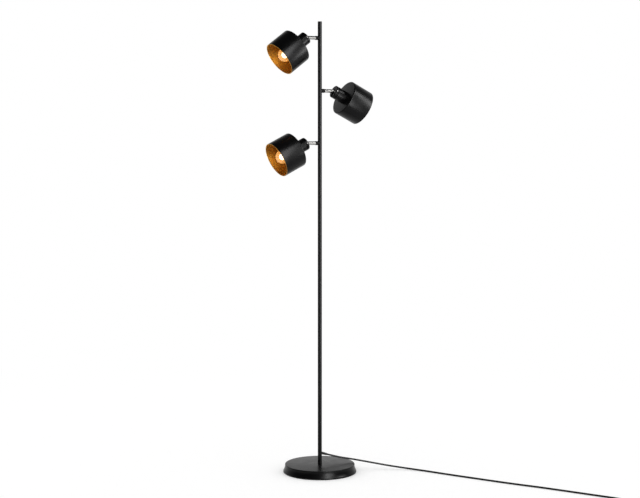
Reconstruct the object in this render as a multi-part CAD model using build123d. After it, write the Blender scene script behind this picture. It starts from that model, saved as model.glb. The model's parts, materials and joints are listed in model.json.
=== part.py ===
from build123d import *
from math import acos, asin, cos, degrees, pi, radians, sin, sqrt
import os

# Tree floor lamp: a round weighted base, a slim pole in three lengths and three
# spot heads on short arms. Millimetres and degrees. The origin is the centre of
# the base's underside, +Z is up. The top and low arms point along -X, the right
# arm along +X, and the heads tilt in the XZ plane.

os.makedirs("parts", exist_ok=True)

# ---------------------------------------------------------------- fits
slip_fit = 0.05          # radial gap of a part that slides into another
moving_gap = 0.3         # gap between faces that move past each other
overcut = 1.0            # how far a cutting shape runs past the faces that it cuts

# ---------------------------------------------------------------- base
base_height = 28.5
base_top_radius = 119.0
base_spread = 6.0        # how far the foot stands out past the side
base_wall = 1.2
base_edge_radius = 2.0
base_flare_radius = 33.5
base_lip_radius = 2.5
base_lip_height = 2.8    # straight edge of the cover above the pad
least_inside_radius = 0.2  # smallest radius inside the cover and the shade
pad_thickness = 1.6
pad_inset = 3.0
weight_radius = 95.0
weight_edge = 2.0
bolt_radius = 4.0
bolt_head_flats = 13.0
bolt_head_height = 5.3
bolt_engagement = 16.0   # length of the bolt inside the pole's foot bush
washer_radius = 12.0
washer_thickness = 2.0
bolt_pocket_radius = 16.0
bolt_pocket_spare = 1.7  # free height under the bolt's head

# ---------------------------------------------------------------- pole
overall_height = 1525.0
pole_radius = 7.0
pole_wall = 1.0
pole_sections = 3
foot_bush_length = 22.0
coupler_length = 44.0
coupler_bore_radius = 3.6
cap_thickness = 3.0
cap_plug_length = 8.0
cap_chamfer = 0.6
tube_chamfer = 0.3       # outer edges at the ends of the pole's lengths

# ---------------------------------------------------------------- arms
top_arm_drop = 55.0      # from the pole's top down to the top arm
arm_spacing = 175.0      # from one arm down to the next
arm_sides = {"top": -1, "right": 1, "low": -1}
pivot_reach = 57.0       # pole axis to the tilt pin
arm_radius = 6.0
arm_bore_radius = 3.8
arm_chamfer = 0.4
collar_chamfer = 0.4
collar_radius = 6.8
collar_reach = 17.0      # pole axis to the collar's outer end
collar_floor = 3.0       # thickness of the collar's wall at the pole
spigot_radius = 5.0
spigot_length = 5.0
nipple_radius = 3.0
nipple_bore_radius = 1.8
nipple_head_radius = 4.2
nipple_head_thickness = 1.5
nipple_depth = 3.5       # nearest point of the nipple to the pole's axis
insert_length = 26.0
insert_bore_radius = 2.8
stop_screw_radius = 1.25
stop_tip_radius = 0.9
stop_groove_depth = 0.9
stop_tip_gap = 0.2       # free height under the stop screw's tip
stop_side_gap = 0.2      # free width on each side of the tip in its groove
stop_screw_sink = 0.3    # how far the screw's end lies inside the collar
roll_limit = 165.0
pin_radius = 2.0
pin_sink = 0.8           # how far the pin's ends lie inside the neck
wire_hole_radius = 1.3
wire_hole_drop = 4.0

# ---------------------------------------------------------------- heads
head_tilts = {"top": 37.0, "right": 26.5, "low": 26.5}
tilt_limit = 70.0
pin_offset = 3.0         # the tilt pin stands this far above the head's axis
neck_radius = 21.5
cap_behind_pin = 4.0     # end face of the swivel cap behind the pin
cap_length = 8.0
cap_rounding = 2.2
groove_length = 2.5
groove_depth = 2.0
land_length = 1.5
cap_spigot_length = 5.0
sleeve_wall = 1.2
neck_length = 44.0       # end face of the cap to the shade's back
wire_way_radius = 3.5

shade_diameter = 120.0
shade_length = 80.0
shade_wall = 1.0
shade_edge_radius = 3.0
hem_width = 2.0          # the rim is turned in by this much
hem_length = 2.4
hem_rounding = 0.6

holder_boss_radius = 5.0
holder_boss_length = 4.0
holder_body_radius = 18.5
holder_shoulder_length = 4.0
holder_skirt_radius = 18.0
holder_skirt_length = 21.0
holder_bore_radius = 14.7
holder_floor = 5.0       # bottom of the bore behind the shade's back
holder_ring_radius = 26.0
holder_ring_length = 7.0
holder_chamfer = 0.8
skirt_thread_count = 4   # rings of the skirt's coarse thread in front of its ring
skirt_thread_pitch = 2.8
skirt_thread_depth = 0.8
ring_chamfer = 1.5
ring_grip_count = 12
ring_grip_radius = 2.2
contact_wall = 0.8
contact_length = 20.0
centre_contact_radius = 4.0

bulb_cap_radius = 13.1
bulb_cap_length = 24.0
bulb_cap_wall = 0.7
bulb_cap_slope = 2.5     # how far the cap's lower rim draws in
bulb_cap_slope_height = 1.5
cap_thread_count = 4
cap_thread_pitch = 3.6
cap_thread_depth = 0.6
cap_thread_rounding = 1.3
cap_thread_start = 4.0   # from the cap's lower rim to the first groove
bulb_tip_radius = 4.5
bulb_tip_length = 2.5
bulb_tip_from_back = 0.5  # tip of the bulb's contact in front of the shade's back
globe_radius = 22.5
globe_from_back = 55.0   # globe's centre in front of the shade's back
glass_neck_fillet = 12.0
glass_wall = 1.0
glass_seat = 4.0

# ---------------------------------------------------------------- cord
cord_radius = 3.0
floor_gap = 0.1          # free height under the cord and what is on it
exit_height = 64.0
exit_tilt = 17.0         # the outlet points this far below the level
outlet_length = 20.0     # from the pole's surface, along the outlet
outlet_depth = 2.5       # how far the outlet reaches inside the pole's surface
outlet_root_radius = 5.0
relief_end_wall = 0.9    # wall round the cord at the tip of each strain relief
relief_land = 2.5        # plain length at a relief's tip
relief_groove_count = 4
relief_groove_pitch = 3.2
relief_groove_width = 1.2
relief_groove_depth = 0.6
conductor_radius = 2.0
conductor_bend = 4.5
cord_lie = cord_radius + floor_gap
relief_tip_radius = cord_radius + relief_end_wall

# Points of the cord from the outlet towards the foot switch. The first two follow
# from the outlet, and the rest are chosen by hand.
outlet_end = (
    pole_radius + outlet_length * cos(radians(exit_tilt)),
    0.0,
    exit_height - outlet_length * sin(radians(exit_tilt)),
)
first_run = 15.0
cord_route = [
    outlet_end,
    (
        outlet_end[0] + first_run * cos(radians(exit_tilt)),
        0.0,
        outlet_end[2] - first_run * sin(radians(exit_tilt)),
    ),
    (57.0, -3.2, 48.6),
    (81.0, -10.5, 42.6),
    (114.0, -28.0, 37.0),
    (165.0, -51.0, 26.0),
    (228.0, -82.0, 12.5),
    (284.0, -122.0, 4.4),
    (321.0, -177.0, cord_lie),
    (356.0, -246.0, cord_lie),
    (393.0, -313.0, cord_lie),
    (433.0, -385.0, cord_lie),
    (475.0, -459.0, cord_lie),
    (521.0, -531.0, cord_lie),
    (563.0, -604.0, cord_lie),
    (605.0, -680.0, cord_lie),
    (649.0, -757.0, cord_lie),
    (669.0, -802.0, cord_lie),
    (661.0, -847.0, cord_lie),
    (626.0, -876.0, cord_lie),
]

# ---------------------------------------------------------------- foot switch
switch_centre = (509.6, -837.0)
switch_heading = 152.0   # direction in which the cord runs through the switch
switch_run = 28.0        # straight cord in front of the switch's strain relief
switch_length = 86.0
switch_width = 38.0
switch_corner_radius = 14.0
switch_split_height = 8.5
switch_height = 21.0
switch_wall = 2.0
switch_floor = 3.0
switch_top_rounding = 4.0
switch_base_chamfer = 1.0
switch_relief_length = 20.0
switch_relief_root = 4.9
switch_relief_neck = 4.2  # radius of the relief inside the housing's wall
switch_boss_radius = 3.6
switch_screw_radius = 1.5
switch_screw_head_radius = 2.7
switch_screw_head_height = 1.6
switch_screw_sink = 0.3
switch_screw_x = 31.0
switch_screw_y = 9.0
switch_screw_end_gap = 2.0  # free depth in the cover's boss past the screw
button_radius = 12.5
button_proud = 4.0
button_rounding = 1.2
button_dish_radius = 9.0
button_dish_depth = 1.0
button_flange_radius = 14.5
button_flange_thickness = 2.0
button_skirt_radius = 10.0
button_skirt_length = 5.0
button_stop_gap = 0.2
contact_block_length = 30.0
contact_block_width = 22.0
contact_block_height = 5.0

# ---------------------------------------------------------------- coil and plug
coil_turns_per_layer = 2
coil_outer_radius = 40.0
coil_step = 7.0          # from one turn to the next
coil_lead_in = 66.0      # from the switch to the first turn
coil_lead_out = 48.0     # from the last turn to the plug
plug_length = 36.0
plug_width = 35.0
plug_back_width = 18.0
plug_front_length = 12.0
plug_thickness = 14.0
plug_rounding = 3.0
plug_edge = 1.5
plug_relief_length = 22.0
plug_relief_radius = 5.2
plug_pin_radius = 2.0
pin_pitch = 18.6
pin_reach = 19.0
pin_root = 6.0
pin_chamfer = 0.6

parts = {}


def keep(name, *shapes):
    """Stores a node's solids under its name."""
    solids = [solid for shape in shapes for solid in shape.solids()]
    parts[name] = solids[0] if len(solids) == 1 else Compound(children=solids)


def rod(radius, start, end):
    """A round bar along Z between two heights."""
    return Pos(0, 0, start) * Cylinder(
        radius, end - start, align=(Align.CENTER, Align.CENTER, Align.MIN)
    )


def pipe(outer, inner, start, end):
    """A round tube along Z between two heights."""
    return rod(outer, start, end) - rod(inner, start - overcut, end + overcut)


def turned(*edges):
    """A solid of revolution from a closed outline of radius and height."""
    return revolve(Plane.XZ * make_face(list(edges)), Axis.Z)


def along_x(shape):
    """Turns a shape made along Z so that it lies along X."""
    return Rot(0, 90, 0) * shape


# ================================================================ base
base_foot_radius = base_top_radius + base_spread
flare_turn = degrees(acos(1 - base_spread / (base_flare_radius + base_lip_radius)))
lip_top = pad_thickness + base_lip_height
flare_top = lip_top + (base_flare_radius + base_lip_radius) * sin(radians(flare_turn))
cover_inside_top = base_height - base_wall


def base_outline(inset):
    """Half section of the base, drawn in by inset, down to the pad."""
    top = base_height - inset
    side = base_top_radius - inset
    edge = max(base_edge_radius - inset, least_inside_radius)
    crown = Line((0, top), (side - edge, top))
    corner = JernArc(crown @ 1, (1, 0), edge, -90)
    wall = Line(corner @ 1, (side, flare_top))
    flare = JernArc(wall @ 1, (0, -1), base_flare_radius + inset, flare_turn)
    lip = JernArc(flare @ 1, flare % 1, max(base_lip_radius - inset, least_inside_radius), -flare_turn)
    foot = Line(lip @ 1, ((lip @ 1).X, pad_thickness))
    under = Line(foot @ 1, (0, pad_thickness))
    centre = Line(under @ 1, crown @ 0)
    return [crown, corner, wall, flare, lip, foot, under, centre]


def make_base():
    bolt_hole = rod(bolt_radius + slip_fit, 0, base_height + overcut)
    cover = turned(*base_outline(0)) - turned(*base_outline(base_wall)) - bolt_hole
    keep("base_cover", cover)

    pocket_depth = washer_thickness + bolt_head_height + bolt_pocket_spare
    pocket_top = pad_thickness + pocket_depth
    weight = rod(weight_radius, pad_thickness, cover_inside_top)
    weight = chamfer(weight.edges().filter_by(GeomType.CIRCLE), weight_edge)
    weight -= rod(bolt_pocket_radius, pad_thickness - overcut, pocket_top)
    weight -= bolt_hole
    keep("base_weight", weight)

    keep("base_pad", rod(base_foot_radius - pad_inset, 0, pad_thickness))

    washer_bottom = pocket_top - washer_thickness
    keep("base_washer", pipe(washer_radius, bolt_radius + slip_fit, washer_bottom, pocket_top))

    head_bottom = washer_bottom - bolt_head_height
    head = Pos(0, 0, head_bottom) * extrude(
        RegularPolygon(bolt_head_flats / 2, 6, major_radius=False), bolt_head_height
    )
    shank = rod(bolt_radius, washer_bottom, base_height + bolt_engagement)
    keep("base_bolt", head + shank)


# ================================================================ pole
arm_heights = {
    key: overall_height - top_arm_drop - index * arm_spacing
    for index, key in enumerate(arm_sides)
}
pole_top = overall_height - cap_thickness
pole_bore = pole_radius - pole_wall
section_length = (pole_top - base_height) / pole_sections
section_names = ["pole_lower", "pole_middle", "pole_upper"]
outlet_hole_radius = relief_tip_radius


def outlet_place():
    """The cord outlet's frame on the pole's surface: +Z leaves the pole, tilted down."""
    return Pos(pole_radius, 0, exit_height) * Rot(0, 90 + exit_tilt, 0)


def side_hole(radius, height, side):
    """A hole through one wall of the pole, towards one side."""
    return Pos(0, 0, height) * Rot(0, 90 * side, 0) * rod(radius, 0, pole_radius + overcut)


def make_pole():
    for index, name in enumerate(section_names):
        low = base_height + index * section_length
        high = low + section_length
        tube = rod(pole_radius, low, high)
        tube = chamfer(tube.edges().filter_by(GeomType.CIRCLE), tube_chamfer)
        tube -= rod(pole_bore, low - overcut, high + overcut)
        if low < exit_height < high:
            tube -= outlet_place() * rod(outlet_hole_radius, -2 * outlet_depth, pole_radius)
        for key, height in arm_heights.items():
            if low < height < high:
                tube -= side_hole(nipple_radius + slip_fit, height, arm_sides[key])
        keep(name, tube)

    bush = pipe(pole_bore - slip_fit, bolt_radius, base_height, base_height + foot_bush_length)
    keep("pole_foot_bush", bush)

    joints = [base_height + section_length * index for index in range(1, pole_sections)]
    keep(
        "pole_couplers",
        *[
            pipe(
                pole_bore - slip_fit,
                coupler_bore_radius,
                joint - coupler_length / 2,
                joint + coupler_length / 2,
            )
            for joint in joints
        ],
    )

    lid = rod(pole_radius, pole_top, overall_height)
    lid = chamfer(lid.edges().group_by(Axis.Z)[-1], cap_chamfer)
    plug = rod(pole_bore - slip_fit, pole_top - cap_plug_length, pole_top)
    keep("pole_cap", lid + plug)


# ================================================================ arms
groove_middle = collar_reach - spigot_length / 2
groove_radius = spigot_radius - stop_groove_depth
stop_half_angle = 180 - roll_limit - degrees(asin(stop_tip_radius / groove_radius))


def arm_place(key):
    """Places what is made along X at the height and side of one arm."""
    return Pos(0, 0, arm_heights[key]) * Rot(0, 0, 0 if arm_sides[key] > 0 else 180)


def make_collar():
    """The fixed socket on the pole in which an arm turns."""
    collar = rod(collar_radius, 0, collar_reach)
    collar = chamfer(collar.edges().group_by(Axis.Z)[-1], collar_chamfer)
    collar -= rod(spigot_radius + slip_fit, pole_radius + collar_floor, collar_reach + overcut)
    collar -= rod(nipple_radius + slip_fit, 0, collar_reach)
    collar = along_x(collar) - rod(pole_radius, -2 * collar_radius, 2 * collar_radius)
    collar -= Pos(groove_middle, 0, 0) * rod(stop_screw_radius, -2 * collar_radius, 0)
    return collar


def make_stop_screw():
    """A small screw whose tip runs in the spigot's groove."""
    shoulder = -spigot_radius - slip_fit
    body = rod(stop_screw_radius, -collar_radius + stop_screw_sink, shoulder)
    tip = rod(stop_tip_radius, shoulder, -groove_radius - stop_tip_gap)
    return Pos(groove_middle, 0, 0) * (body + tip)


def make_insert():
    """The plug inside the pole that the arm's nipple screws into."""
    body = pipe(pole_bore - slip_fit, insert_bore_radius, -insert_length / 2, insert_length / 2)
    return body - along_x(rod(nipple_radius, 0, pole_radius))


def make_nipple():
    """The hollow screw that holds the collar and lets the wires through."""
    floor_end = pole_radius + collar_floor
    nipple = rod(nipple_radius, nipple_depth, floor_end)
    nipple += rod(nipple_head_radius, floor_end, floor_end + nipple_head_thickness)
    nipple -= rod(nipple_bore_radius, 0, collar_reach)
    return along_x(nipple)


def make_arm():
    """The plated arm: a spigot with a stop groove, a tube and a ball end on the pin."""
    spigot_start = collar_reach - spigot_length
    shoulder = collar_reach + moving_gap
    foot = Line((0, spigot_start), (spigot_radius, spigot_start))
    spigot = Line(foot @ 1, (spigot_radius, shoulder))
    step = Line(spigot @ 1, (arm_radius - arm_chamfer, shoulder))
    bevel = Line(step @ 1, (arm_radius, shoulder + arm_chamfer))
    side = Line(bevel @ 1, (arm_radius, pivot_reach))
    ball = JernArc(side @ 1, (0, 1), arm_radius, 90)
    arm = along_x(turned(foot, spigot, step, bevel, side, ball, Line(ball @ 1, foot @ 0)))
    groove_half = stop_tip_radius + stop_side_gap
    ring = Pos(groove_middle, 0, 0) * along_x(
        pipe(spigot_radius + overcut, groove_radius, -groove_half, groove_half)
    )
    rib_width = 2 * groove_radius * sin(radians(stop_half_angle))
    rib_height = 2 * (stop_groove_depth + overcut)
    ring -= Pos(groove_middle, 0, spigot_radius) * Box(4 * groove_half, rib_width, rib_height)
    arm -= ring
    bore_end = pivot_reach - arm_radius - pin_radius
    arm -= along_x(rod(arm_bore_radius, spigot_start - overcut, bore_end))
    arm -= Pos(0, 0, -wire_hole_drop) * along_x(
        rod(wire_hole_radius, bore_end - overcut, pivot_reach + arm_radius + overcut)
    )
    arm -= Pos(pivot_reach, 0, 0) * Rot(90, 0, 0) * Cylinder(pin_radius + slip_fit, 4 * arm_radius)
    return arm


def make_arms():
    order = list(arm_heights)
    keep("arm_inserts", *[arm_place(key) * make_insert() for key in order])
    keep("arm_nipples", *[arm_place(key) * make_nipple() for key in order])
    keep("collar_screws", *[arm_place(key) * make_stop_screw() for key in order])
    for key in order:
        keep(f"arm_collar_{key}", arm_place(key) * make_collar())
        keep(f"arm_{key}", arm_place(key) * make_arm())


# ================================================================ heads
# A head is made in its own frame: +Z along its axis to the front, +X away from
# its underside, the tilt pin along Y at X = pin_offset, Z = 0.
cap_end = -cap_behind_pin
cap_front = cap_end + cap_length
land_start = cap_front + groove_length
sleeve_start = land_start + land_length
cap_spigot_end = sleeve_start + cap_spigot_length
shade_back = cap_end + neck_length
shade_inside = shade_back + shade_wall
shade_radius = shade_diameter / 2
sleeve_bore = neck_radius - sleeve_wall
bore_floor = shade_back - holder_floor
bulb_tip = shade_back + bulb_tip_from_back
globe_centre = shade_back + globe_from_back


def head_place(key):
    """The frame of one head at its rest tilt."""
    side = arm_sides[key]
    tilt = radians(head_tilts[key])
    forward = Vector(side * cos(tilt), 0, -sin(tilt))
    upward = Vector(side * sin(tilt), 0, cos(tilt))
    pin = Vector(side * pivot_reach, 0, arm_heights[key])
    return Plane(pin - upward * pin_offset, x_dir=upward, z_dir=forward).location


def make_swivel_slot():
    """The room that the arm sweeps in the swivel cap, from level to full tilt."""
    half = arm_radius + moving_gap
    reach = 2 * neck_radius
    limit = radians(tilt_limit)
    level_far = (pin_offset + half, -reach)
    level_near = (pin_offset + half, 0)
    middle = (pi - limit) / 2
    bend = (pin_offset + half * cos(middle), half * sin(middle))
    low_near = (pin_offset - half * cos(limit), half * sin(limit))
    low_far = (low_near[0] - reach * sin(limit), low_near[1] - reach * cos(limit))
    outer = (low_far[0], -reach)
    outline = [
        Line(level_far, level_near),
        ThreePointArc(level_near, bend, low_near),
        Line(low_near, low_far),
        Line(low_far, outer),
        Line(outer, level_far),
    ]
    return extrude(Plane.XZ * make_face(outline), half, both=True)


def make_swivel_cap():
    """The slotted end cap that holds the tilt pin."""
    cap = rod(neck_radius, cap_end, cap_front)
    cap = fillet(cap.edges().group_by(Axis.Z)[0], cap_rounding)
    cap += rod(neck_radius - groove_depth, cap_front, land_start)
    cap += rod(neck_radius, land_start, sleeve_start)
    cap += rod(sleeve_bore - slip_fit, sleeve_start, cap_spigot_end)
    cap -= make_swivel_slot()
    boss_start = cap_spigot_end - holder_boss_length
    cap -= rod(holder_boss_radius + slip_fit, boss_start, cap_spigot_end + overcut)
    cap -= rod(wire_way_radius, 0, cap_spigot_end)
    cap -= Pos(pin_offset, 0, 0) * Rot(90, 0, 0) * Cylinder(pin_radius, 3 * neck_radius)
    return cap


def make_pivot_pin():
    half_length = sqrt(neck_radius**2 - pin_offset**2) - pin_sink
    return Pos(pin_offset, 0, 0) * Rot(90, 0, 0) * Cylinder(pin_radius, 2 * half_length)


def vee_ring(start):
    """The cut for one ring of the skirt's thread."""
    root = holder_skirt_radius - skirt_thread_depth
    outline = Polyline(
        (holder_skirt_radius, start),
        (root, start + skirt_thread_pitch / 2),
        (holder_skirt_radius, start + skirt_thread_pitch),
        (holder_skirt_radius + overcut, start + skirt_thread_pitch / 2),
        close=True,
    )
    return turned(*outline.edges())


def make_lamp_holder():
    """The socket body with its threaded skirt through the shade's back."""
    skirt_end = shade_back + holder_skirt_length
    holder = rod(holder_boss_radius, cap_spigot_end - holder_boss_length, cap_spigot_end)
    holder += rod(holder_body_radius, cap_spigot_end, shade_back - holder_shoulder_length)
    holder += rod(sleeve_bore - slip_fit, shade_back - holder_shoulder_length, shade_back)
    holder += rod(holder_skirt_radius, shade_back, skirt_end)
    holder = chamfer(holder.edges().group_by(Axis.Z)[-1], holder_chamfer)
    thread_start = skirt_end - holder_chamfer - skirt_thread_count * skirt_thread_pitch
    for index in range(skirt_thread_count):
        holder -= vee_ring(thread_start + index * skirt_thread_pitch)
    holder -= rod(holder_bore_radius, bore_floor, skirt_end + overcut)
    holder -= rod(wire_way_radius, cap_end, bore_floor - centre_contact_radius)
    return holder


def make_contacts():
    """The screw shell and the centre contact inside the holder."""
    shell_outer = holder_bore_radius - slip_fit
    shell = pipe(shell_outer, shell_outer - contact_wall, bore_floor, bore_floor + contact_length)
    centre = rod(centre_contact_radius, bore_floor, bulb_tip)
    return shell, centre


def make_holder_ring():
    """The ring that clamps the shade on the holder's skirt."""
    ring_end = shade_inside + holder_ring_length
    ring = rod(holder_ring_radius, shade_inside, ring_end)
    ring = chamfer(ring.edges().group_by(Axis.Z)[-1], ring_chamfer)
    grips = PolarLocations(holder_ring_radius + ring_grip_radius / 2, ring_grip_count)
    notch = rod(ring_grip_radius, shade_inside - overcut, ring_end + overcut)
    ring -= [place * notch for place in grips]
    return ring - rod(holder_skirt_radius + slip_fit, shade_inside - overcut, ring_end + overcut)


def make_bulb_cap():
    cap_low = bulb_tip + bulb_tip_length
    cap_high = cap_low + bulb_cap_length
    outline = Polyline(
        (0, bulb_tip),
        (bulb_tip_radius, bulb_tip),
        (bulb_cap_radius - bulb_cap_slope, cap_low),
        (bulb_cap_radius, cap_low + bulb_cap_slope_height),
        (bulb_cap_radius, cap_high),
        (bulb_cap_radius - bulb_cap_wall, cap_high),
        (bulb_cap_radius - bulb_cap_wall, cap_high - glass_seat),
        (0, cap_high - glass_seat),
        close=True,
    )
    cap = turned(*outline.edges())
    ring_radius = bulb_cap_radius - cap_thread_depth + cap_thread_rounding
    for index in range(cap_thread_count):
        height = cap_low + cap_thread_start + index * cap_thread_pitch
        cap -= Pos(0, 0, height) * Torus(ring_radius, cap_thread_rounding)
    return cap


def glass_outline(inset):
    """Half section of the globe and its neck, drawn in by inset."""
    neck = bulb_cap_radius - bulb_cap_wall - slip_fit
    start = bulb_tip + bulb_tip_length + bulb_cap_length - glass_seat
    turn = degrees(acos((neck + glass_neck_fillet) / (globe_radius + glass_neck_fillet)))
    bend_start = globe_centre - (globe_radius + glass_neck_fillet) * sin(radians(turn))
    straight = Line((neck - inset, start), (neck - inset, bend_start))
    shoulder = JernArc(straight @ 1, (0, 1), glass_neck_fillet + inset, -turn)
    globe = JernArc(shoulder @ 1, shoulder % 1, globe_radius - inset, 90 + turn)
    axis = Line(globe @ 1, (0, start))
    return [straight, shoulder, globe, axis, Line(axis @ 1, straight @ 0)]


def make_bulb_globe():
    return turned(*glass_outline(0)) - turned(*glass_outline(glass_wall))


def make_shade():
    """The open drum with its flat back, a small rounded edge and a rim turned inwards."""
    outside = rod(shade_radius, shade_back, shade_back + shade_length)
    outside = fillet(outside.edges().group_by(Axis.Z)[0], shade_edge_radius)
    inside = rod(shade_radius - shade_wall, shade_inside, shade_back + shade_length + overcut)
    inner_edge = max(shade_edge_radius - shade_wall, least_inside_radius)
    inside = fillet(inside.edges().group_by(Axis.Z)[0], inner_edge)
    hole = rod(holder_skirt_radius + slip_fit, shade_back - overcut, shade_inside + overcut)
    rim = shade_back + shade_length
    hem = pipe(shade_radius - shade_wall / 2, shade_radius - hem_width, rim - hem_length, rim)
    shade = outside - inside - hole + hem
    return fillet(shade.edges().group_by(Axis.Z)[-1], hem_rounding)


def make_head(key):
    place = head_place(key)
    keep(f"swivel_cap_{key}", place * make_swivel_cap())
    keep(f"pivot_pin_{key}", place * make_pivot_pin())
    keep(f"neck_sleeve_{key}", place * pipe(neck_radius, sleeve_bore, sleeve_start, shade_back))
    keep(f"lamp_holder_{key}", place * make_lamp_holder())
    keep(f"holder_contacts_{key}", *[place * piece for piece in make_contacts()])
    keep(f"holder_ring_{key}", place * make_holder_ring())
    keep(f"bulb_cap_{key}", place * make_bulb_cap())
    keep(f"bulb_globe_{key}", place * make_bulb_globe())
    keep(f"shade_{key}", place * make_shade())


# ================================================================ cord
def unit(vector):
    return vector * (1 / vector.length)


def corner_radii(points):
    """One radius for each corner of a route: 0.45 of its shorter run over the
    tangent of half the turn."""
    radii = []
    for before, here, after in zip(points, points[1:], points[2:]):
        first = Vector(here) - Vector(before)
        second = Vector(after) - Vector(here)
        half_turn = radians(first.get_angle(second)) / 2
        radii.append(0.45 * min(first.length, second.length) / (sin(half_turn) / cos(half_turn)))
    return radii


def swept_tube(path, radius, direction):
    """A round tube along a path that starts in a given direction."""
    section = Plane(path @ 0, z_dir=direction) * Circle(radius)
    return sweep(section, path)


def check_volume(name, tube, path, radius):
    expected = pi * radius**2 * path.length
    print(f"{name}: length {path.length:.1f}, volume ratio {tube.volume / expected:.5f}")


def make_power_cord():
    inlet = -switch_length / 2 - switch_relief_length
    ends = [switch_point(inlet - run, switch_split_height) for run in (switch_run, 0)]
    route = cord_route + ends
    radii = corner_radii(route)
    print("power_cord radii:", [round(radius) for radius in radii])
    path = FilletPolyline(*route, radius=radii)
    tube = swept_tube(path, cord_radius, Vector(route[1]) - Vector(route[0]))
    check_volume("power_cord", tube, path, cord_radius)
    keep("power_cord", tube)


def make_relief(root_radius, start, end):
    """A tapered strain relief along Z, with ring grooves near its tip that let it flex."""
    base = Align.CENTER, Align.CENTER, Align.MIN
    length = end - start
    relief = Pos(0, 0, start) * Cone(root_radius, relief_tip_radius, length, align=base)
    core = Pos(0, 0, start) * Cone(
        root_radius - relief_groove_depth,
        relief_tip_radius - relief_groove_depth,
        length,
        align=base,
    )
    for index in range(relief_groove_count):
        high = end - relief_land - index * relief_groove_pitch
        relief -= rod(root_radius + overcut, high - relief_groove_width, high) - core
    return relief


def make_outlet():
    """The moulded outlet that guides the cord out of the pole's wall."""
    bush = rod(outlet_hole_radius - slip_fit, -outlet_depth, outlet_depth)
    nose = make_relief(outlet_root_radius, -outlet_depth, outlet_length)
    nose = outlet_place() * nose - rod(pole_radius, 0, 2 * exit_height)
    keep("cord_outlet", outlet_place() * bush + nose)


def make_inner_cable():
    """The wires that run from the outlet up the pole to the top arm."""
    inner_end = (outlet_place() * Pos(0, 0, -outlet_depth)).position
    turn_height = exit_height + pole_radius * sin(radians(exit_tilt)) / cos(radians(exit_tilt))
    path = FilletPolyline(
        inner_end, (0, 0, turn_height), (0, 0, arm_heights["top"]), radius=conductor_bend
    )
    keep("inner_cable", swept_tube(path, conductor_radius, path % 0))


# ================================================================ foot switch
def switch_place():
    """The switch's frame on the floor: +X along the cord, towards the plug."""
    return Pos(switch_centre[0], switch_centre[1], floor_gap) * Rot(0, 0, switch_heading)


def switch_point(x, z):
    """A point of the switch's middle plane, in the lamp's frame."""
    return (switch_place() * Pos(x, 0, z)).position


def switch_block(low, high, inset):
    """The switch's rounded outline as a block between two heights."""
    outline = RectangleRounded(
        switch_length - 2 * inset, switch_width - 2 * inset, switch_corner_radius - inset
    )
    return Pos(0, 0, low) * extrude(outline, high - low)


def make_switch():
    split = switch_split_height
    ceiling = switch_height - switch_wall
    screw_places = [Pos(side * switch_screw_x, side * switch_screw_y, 0) for side in (-1, 1)]

    base = switch_block(0, split, 0)
    base = chamfer(base.edges().group_by(Axis.Z)[0], switch_base_chamfer)
    base -= switch_block(switch_floor, split + overcut, switch_wall)
    cover = switch_block(split, switch_height, 0)
    cover = fillet(cover.edges().group_by(Axis.Z)[-1], switch_top_rounding)
    cover -= switch_block(split - overcut, ceiling, switch_wall)
    head_top = switch_screw_sink + switch_screw_head_height
    screw_top = ceiling - switch_screw_end_gap
    for place in screw_places:
        base += place * rod(switch_boss_radius, switch_floor, split)
        base -= place * rod(switch_screw_head_radius + slip_fit, -overcut, head_top)
        base -= place * rod(switch_screw_radius + slip_fit, 0, split + overcut)
        cover += place * rod(switch_boss_radius, split, ceiling)
        cover -= place * rod(switch_screw_radius, split - overcut, screw_top)
    cover -= rod(button_radius + moving_gap, ceiling - overcut, switch_height + overcut)
    neck_hole = along_x(rod(switch_relief_neck + slip_fit, -switch_length, switch_length))
    neck_hole -= Box(switch_length - 4 * switch_wall, switch_width, switch_height)
    base -= Pos(0, 0, split) * neck_hole
    cover -= Pos(0, 0, split) * neck_hole

    screw = rod(switch_screw_head_radius, switch_screw_sink, head_top)
    screw += rod(switch_screw_radius, head_top, screw_top)

    flange_top = ceiling - button_stop_gap
    flange_low = flange_top - button_flange_thickness
    button = rod(button_radius, flange_low, switch_height + button_proud)
    button = fillet(button.edges().group_by(Axis.Z)[-1], button_rounding)
    button += rod(button_flange_radius, flange_low, flange_top)
    button += rod(button_skirt_radius, flange_low - button_skirt_length, flange_low)
    dish_sphere = (button_dish_radius**2 + button_dish_depth**2) / (2 * button_dish_depth)
    dish_centre = switch_height + button_proud - button_dish_depth + dish_sphere
    button -= Pos(0, 0, dish_centre) * Sphere(dish_sphere)

    block_top = switch_floor + contact_block_height
    block = Pos(0, 0, switch_floor) * extrude(
        Rectangle(contact_block_length, contact_block_width), block_top - switch_floor
    )

    wall = switch_length / 2
    relief = make_relief(switch_relief_root, wall, wall + switch_relief_length)
    relief = along_x(relief + rod(switch_relief_neck, wall - switch_wall, wall))

    place = switch_place()
    ends = [place * Pos(0, 0, split) * Rot(0, 0, turn) for turn in (0, 180)]
    keep("switch_reliefs", *[end * relief for end in ends])
    keep("switch_base", place * base)
    keep("switch_cover", place * cover)
    keep("switch_button", place * button)
    keep("switch_contacts", place * block)
    keep("switch_screws", *[place * spot * screw for spot in screw_places])


# ================================================================ coil and plug
cord_heading = Vector(cos(radians(switch_heading)), sin(radians(switch_heading)), 0)
coil_side = Vector(-cord_heading.Y, cord_heading.X, 0)
coil_start = switch_point(switch_length / 2 + coil_lead_in, 0)
coil_centre = Vector(coil_start.X, coil_start.Y, 0) + coil_side * coil_outer_radius
coil_turn = 360 * coil_turns_per_layer
layer_height = coil_step
parallel_limit = 1e-9    # below this two directions count as parallel


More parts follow.
